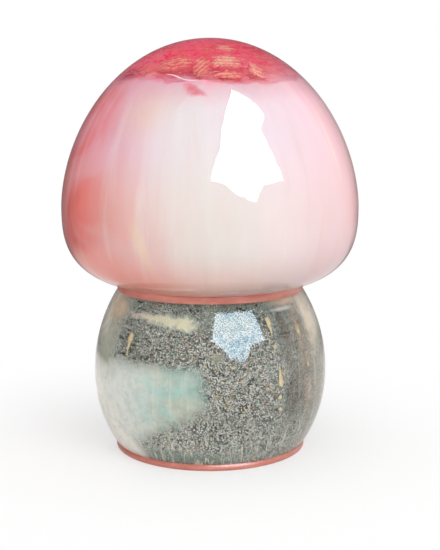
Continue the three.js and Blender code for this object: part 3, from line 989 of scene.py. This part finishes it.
def make_shreds(material):
    """Fine curled shreds of leaf between the larger pieces, each a thin closed ribbon."""
    draw = random.Random(11)
    corners, faces, steps = [], [], 10
    for _ in range(SHREDS):
        around, share = 2 * math.pi * draw.random(), 0.3 + 0.62 * math.sqrt(draw.random())
        tilt = crown_edge(around) * share
        depth = CAP_INSET + (0.25 + 1.1 * draw.random()) * MM
        length, width = (0.5 + 2.6 * draw.random() ** 2) * MM, (0.06 + 0.14 * draw.random()) * MM
        heading, curl = 2 * math.pi * draw.random(), draw.gauss(0.0, 1.3)
        heading = round(heading / math.pi) * math.pi + 0.5 * draw.gauss(0.0, 1.0)
        centre = Vector(on_crown(around, tilt, depth))
        out = (centre - DOME_MIDDLE).normalized()
        side = Vector((-math.sin(around), math.cos(around), 0.0))
        up = out.cross(side)
        first = len(corners)
        for step in range(steps + 1):
            along = step / steps - 0.5
            turn = heading + curl * along
            run = side * math.cos(turn) + up * math.sin(turn)
            across = out.cross(run)
            half = width * (1.0 - (2.0 * along) ** 2) ** 0.5 + SHRED_TIP
            drop = (along * length) ** 2 / (2 * SHRED_BEND_RADIUS)
            rise = SHRED_RISE * math.sin(9.0 * along + curl) - drop
            middle = centre + run * along * length + out * rise
            across, thick = across * half, out * FOIL_HALF
            corners += [middle - across, middle - thick, middle + across, middle + thick]
        for step in range(steps):
            low = first + 4 * step
            for place in range(4):
                after = (place + 1) % 4
                faces.append((low + place, low + after, low + 4 + after, low + 4 + place))
        last = first + 4 * steps
        faces.append((first + 3, first + 2, first + 1, first))
        faces.append((last, last + 1, last + 2, last + 3))
    piece = add_mesh("crown_leaf_shreds", corners, faces)
    dress(piece, material, "metal_leaf")


# The lip of pearl: its start and length round the axis in degrees, half its height in the middle and
# at its ends, and how deep it lies
LIP_START, LIP_TURN = -119.0, 24.0
LIP_HALF, LIP_END, LIP_DEPTH = 0.22 * MM, 0.02 * MM, 0.02 * MM


def make_fold(material):
    """The pale lip where the pearl folded over under the red pour."""
    corners, faces, steps, sides = [], [], 40, 8
    for share in evenly(0.0, 1.0, steps):
        around = math.radians(LIP_START + LIP_TURN * share)
        level = POUR_LEVEL + (1.5 - 1.3 * share ** 0.8 + 0.2 * math.sin(7.0 * share)) * MM
        tilt = last_tilt(lambda angle: crown_point(angle, CAP_INSET)[1] > level, 0.0, 19)
        centre = Vector(on_crown(around, tilt, CAP_INSET + LIP_DEPTH))
        out, down = Vector(polar(0.7, around, 0.71)), Vector(polar(0.71, around, -0.7))
        half = LIP_HALF * math.sin(math.pi * share) ** 0.6 + LIP_END
        for angle in turns(sides):
            corners.append(centre + out * half * 0.5 * math.cos(angle) + down * half * math.sin(angle))
    for step in range(steps):
        low, high = step * sides, (step + 1) * sides
        for index in range(sides):
            after = (index + 1) % sides
            faces.append((low + index, high + index, high + after, low + after))
    faces.append(tuple(range(sides)))
    faces.append(tuple(reversed(range(steps * sides, (steps + 1) * sides))))
    dress(add_mesh("cap_pearl_fold", corners, faces), material, "pearl_resin")


def make_pieces():
    coral_resin = coral()
    make_base_disc(coral_resin)
    make_collar(coral_resin)
    clear = clear_resin("clear_resin", 0.25)
    # Painted shade: the stem's resin is clear, and this smoky tint stands for the dark surroundings seen
    # through it
    smoky_shade = tinted_resin("glitter_resin", (0.22, 0.27, 0.20), 54.0, 0.2, 3.0, 0.6, 1.0)
    make_barrel("stem_clear_body", 0.0, BOND, clear, "clear_resin", "stem_clear_coat")
    make_barrel("stem_shade_tinted_body", STEM_INSET, 0.0, smoky_shade, "glitter_resin", "stem_glitter_core")
    make_glitter(glitter())
    make_haze(haze())
    mica = metal("gold_mica", (1.0, 0.86, 0.55), (0.88, 0.66, 0.38), 0.8)
    for line in FLOW_LINES:
        make_flow_line(*line, mica)
    make_pearl_core(pearl())
    make_cap_clear(clear_resin("pink_clear_resin", 0.2))
    make_red_pour(tinted_resin("red_resin", (0.995, 0.2, 0.5), 62.0, 0.4, 3.0))
    leaf = foil()
    for piece in LEAVES:
        make_leaf(*piece, leaf)
    make_shreds(metal("leaf_shreds", (1.0, 0.52, 0.42), (1.0, 0.30, 0.30), 0.9))
    make_fold(fold_resin())


# The studio

FOCAL_PIXELS, FRAME_HEIGHT_PIXELS = 1190.0, 550.0
AXIS_PIXELS_LEFT_OF_MIDDLE = 10.0
CAMERA_DISTANCE, CAMERA_HEIGHT, CAMERA_PITCH = 265.0 * MM, 83.3 * MM, math.radians(9.5)

# How much the world lights surfaces, and the radius of the floor
WORLD_LEVEL, FLOOR_REACH = 0.85, 3.0

# Corners of the window that the gloss mirrors, in degrees right of the front and up, and its light
WINDOW = (
    (63.7, 75.2), (72.4, 65.2), (72.3, 53.9), (56.6, 48.1), (57.1, 38.2), (60.7, 20.2),
    (41.5, 18.7), (35.1, 9.3), (21.6, 13.8), (11.4, 21.4), (1.3, 25.6),
)
WINDOW_DISTANCE, WINDOW_LEVEL = 1.6, 13.6
WINDOW_SKY, WINDOW_PALE = (0.50, 0.78, 1.0), (0.78, 0.92, 1.0)

# The grey flag, in degrees and metres; its skirt on the floor comes this near the axis
FLAG_FROM, FLAG_TO, FLAG_LOW, FLAG_HIGH = 80.0, 310.0, 0.02, 84.3
FLAG_DISTANCE, FLAG_SKIRT, FLAG_TINT = 1.9, 0.05, (1, 0.96, 0.96)


def make_camera():
    lens = bpy.data.cameras.new("camera")
    lens.sensor_width = 36.0
    lens.lens = lens.sensor_width * FOCAL_PIXELS / FRAME_HEIGHT_PIXELS
    lens.clip_start = 0.01
    camera = bpy.data.objects.new("camera", lens)
    sideways = AXIS_PIXELS_LEFT_OF_MIDDLE * CAMERA_DISTANCE / FOCAL_PIXELS
    camera.location = (sideways, -CAMERA_DISTANCE, CAMERA_HEIGHT)
    camera.rotation_euler = (math.pi / 2 - CAMERA_PITCH, 0.0, 0.0)
    bpy.context.scene.collection.objects.link(camera)
    bpy.context.scene.camera = camera


def direction(right, up):
    """The direction from the object to a place so far right of the front and so far up, in degrees."""
    right, up = math.radians(right), math.radians(up)
    return Vector((math.sin(right) * math.cos(up), -math.cos(right) * math.cos(up), math.sin(up)))


def make_world():
    """White for the camera, gloss and clear resin, and a softer level for what the world lights."""
    world = bpy.data.worlds.new("studio")
    bpy.context.scene.world = world
    tree = Tree("studio", world)
    seen = tree.most(tree.ray("Camera"), tree.most(tree.ray("Glossy"), tree.ray("Transmission")))
    level = tree.add("ShaderNodeMapRange", {"Value": seen, "To Min": WORLD_LEVEL, "To Max": 1.0}).outputs[0]
    tree.finish(tree.add("ShaderNodeBackground", {"Color": (1, 1, 1), "Strength": level}).outputs[0])


def make_floor():
    """A white floor that shows the object's shadow near it and fades into the background."""
    outline = [polar(FLOOR_REACH, around, 0.0) for around in turns(64)]
    floor = add_mesh("floor", outline, [tuple(range(len(outline)))])
    tree = Tree("floor")
    place = tree.place()
    x, y, _ = tree.split(place)
    far = tree.radius(x, y)
    seen = tree.times(tree.ray("Camera"), tree.ramp(far, 24.0, 95.0, 0.5, 1.0))
    mirrored = tree.times(tree.ray("Glossy"), tree.ramp(far, 40.0, 95.0))
    background = tree.most(tree.most(seen, mirrored), tree.ray("Transmission"))
    paper = tree.mix(tree.noise(place, 0.8, 2.0), (0.86, 0.86, 0.86), (0.9, 0.9, 0.9))
    paper = tree.add("ShaderNodeBsdfDiffuse", {"Color": paper}).outputs[0]
    surface = tree.either(background, paper, tree.emission((1, 1, 1), 1.0))
    floor.data.materials.append(tree.finish(surface))


def show_in_gloss(piece, tree, light):
    """Gives a stage piece a light that only mirrored rays meet; refracted ones pass straight through."""
    tree.material.cycles.emission_sampling = "NONE"
    piece.data.materials.append(tree.finish(tree.clear_for("Transmission", light)))
    for kind in ("camera", "diffuse", "transmission", "shadow", "volume_scatter"):
        setattr(piece, "visible_" + kind, False)


def make_window():
    """A window that the gloss mirrors: sky of uneven brightness, torn by leaves along its foot."""
    corners = [direction(right, up) * WINDOW_DISTANCE for right, up in WINDOW]
    middle = sum(corners, Vector()) / len(corners)
    faces = [(0, 1 + index, 1 + (index + 1) % len(corners)) for index in range(len(corners))]
    card = add_mesh("window_card", [middle, *corners], faces, smooth=False)
    tree = Tree("window_card")
    place = tree.add("ShaderNodeTexCoord").outputs["Object"]
    sky = tree.noise(place, 2.2, 3.0, 0.6)
    colour = tree.mix(tree.ramp(sky, 0.38, 0.62), WINDOW_SKY, WINDOW_PALE)
    light = tree.emission(colour, tree.ramp(sky, 0.3, 0.7, WINDOW_LEVEL * 0.85, WINDOW_LEVEL * 1.1))
    level = tree.scaled(tree.swing(place, 6.0, 4.0, 0.65), 0.9, tree.split(place)[2])
    show_in_gloss(card, tree, tree.either(tree.ramp(level, 0.22, 0.42), tree.clear(), light))


def sheet_faces(rows, columns, first=0):
    """The faces of a sheet whose corners are listed row by row."""
    lows = [first + row * (columns + 1) + column for row in range(rows) for column in range(columns)]
    return [(low, low + 1, low + columns + 2, low + columns + 1) for low in lows]


def make_flag():
    """A grey flag behind the object, seen only in its gloss, that keeps its edges from washing out."""
    steps, rows = 48, 12
    columns = evenly(FLAG_FROM, FLAG_TO, steps)
    corners = [direction(right, up) * FLAG_DISTANCE for up in evenly(FLAG_LOW, FLAG_HIGH, rows)
               for right in columns]
    faces = sheet_faces(rows, steps) + sheet_faces(steps, 1, len(corners))
    for right in columns:
        for reach in (FLAG_SKIRT, FLAG_DISTANCE):
            corners.append(direction(right, 0.0) * reach + Vector((0.0, 0.0, MM)))
    flag = add_mesh("grey_flag", corners, faces)
    tree = Tree("grey_flag")
    x, y, z = tree.split(tree.add("ShaderNodeTexCoord").outputs["Object"])
    reach = tree.radius(x, y)
    behind = tree.math("DIVIDE", tree.scaled(y, 0.85, tree.times(x, -0.53)), tree.most(reach, 0.01))
    dim = tree.times(tree.ramp(behind, -0.05, 0.65), tree.ramp(reach, FLAG_SKIRT, 0.2))
    dim = tree.most(dim, tree.ramp(z, 1.5, 1.85))
    show_in_gloss(flag, tree, tree.emission(FLAG_TINT, tree.ramp(dim, 0.0, 1.0, 1.0, 0.16)))


def make_lamp(name, right, up, distance, size, power, colour=(1, 1, 1)):
    """A soft lamp that lights surfaces and isn't mirrored in them."""
    lamp = bpy.data.lights.new(name, "AREA")
    lamp.shape = "DISK"
    lamp.size = size
    lamp.energy = power
    lamp.color = colour
    holder = bpy.data.objects.new(name, lamp)
    holder.location = Vector((0.0, 0.0, CAP_SEAT)) + direction(right, up) * distance
    holder.rotation_euler = direction(right, up).to_track_quat("Z", "Y").to_euler()
    for kind in ("glossy", "transmission", "camera"):
        setattr(holder, "visible_" + kind, False)
    bpy.context.scene.collection.objects.link(holder)


def make_studio():
    make_camera()
    make_world()
    make_floor()
    make_window()
    make_flag()
    make_lamp("key_lamp", 38.0, 42.0, 0.9, 0.55, 2.3, (1.0, 0.98, 0.96))
    make_lamp("top_lamp", 0.0, 78.0, 0.9, 0.6, 0.9)
    make_lamp("fill_lamp", -12.0, 2.0, 0.9, 0.5, 2.9, (1.0, 0.98, 0.95))
    bpy.context.scene.view_settings.view_transform = "Standard"


make_studio()
make_pieces()
